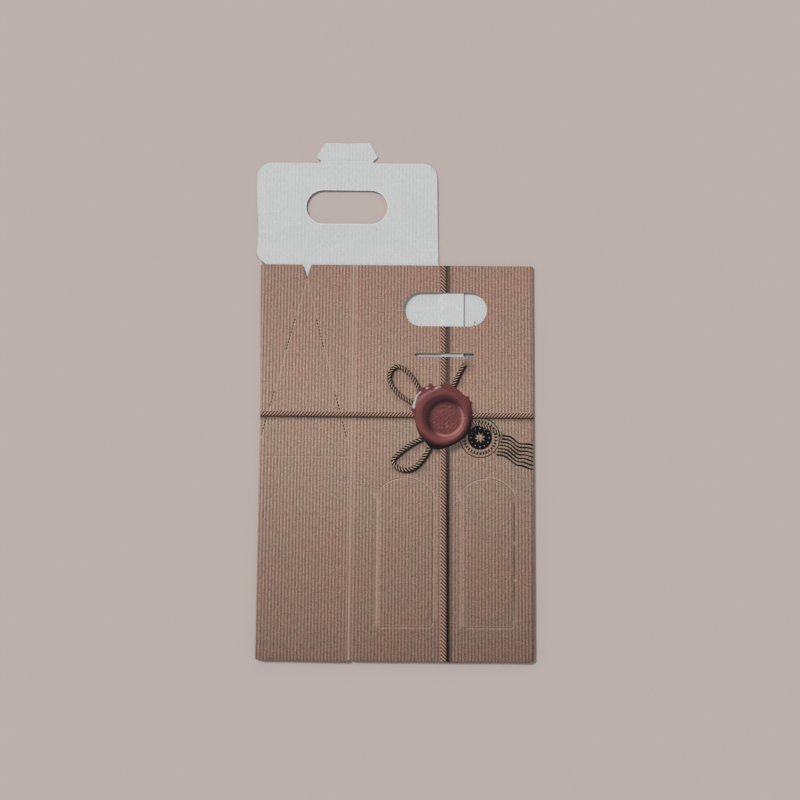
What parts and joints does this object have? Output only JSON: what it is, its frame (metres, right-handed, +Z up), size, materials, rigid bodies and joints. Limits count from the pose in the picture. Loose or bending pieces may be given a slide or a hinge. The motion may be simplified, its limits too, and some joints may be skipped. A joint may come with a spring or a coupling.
{
  "type": "bottle carrier box, folded flat",
  "caption": "Flat-folded printed carrier box of fluted board for bottles, glued tube with hand holes, arch doors, and a hinged closing flap with a lock tab.",
  "frame": {"origin": "middle of the underside of the whole flat object, on the surface it lies on", "axes": "+Y along the panels from the box's bottom to its closing flap (the longest extent), +X to the right seen from the printed side, +Z up out of the printed side"},
  "size_m": [0.2762, 0.5112, 0.0084],
  "materials": {
    "printed_board": "matte kraft-striped print on fluted board",
    "white_board": "matte white liner with fine ribs"
  },
  "bodies": {
    "carton": {"carton_body": "printed_board"},
    "spine": {"flap_spine": "white_board"},
    "flap": {"handle_flap": "white_board"},
    "tab": {"lock_tab": "white_board"}
  },
  "joints": [
    {"name": "spine_fold", "type": "hinge", "parent": "carton", "child": "spine", "pos_m": [-0.04522, 0.13079, 0.0015], "axis": [1, 0, 0], "range_deg": [0, 90]},
    {"name": "flap_fold", "type": "hinge", "parent": "spine", "child": "flap", "pos_m": [-0.04812, 0.14379, 0.0015], "axis": [1, 0, 0], "range_deg": [0, 80]},
    {"name": "tab_fold", "type": "hinge", "parent": "flap", "child": "tab", "pos_m": [-0.04842, 0.23719, 0.0015], "axis": [1, 0, 0], "range_deg": [0, 90]}
  ]
}
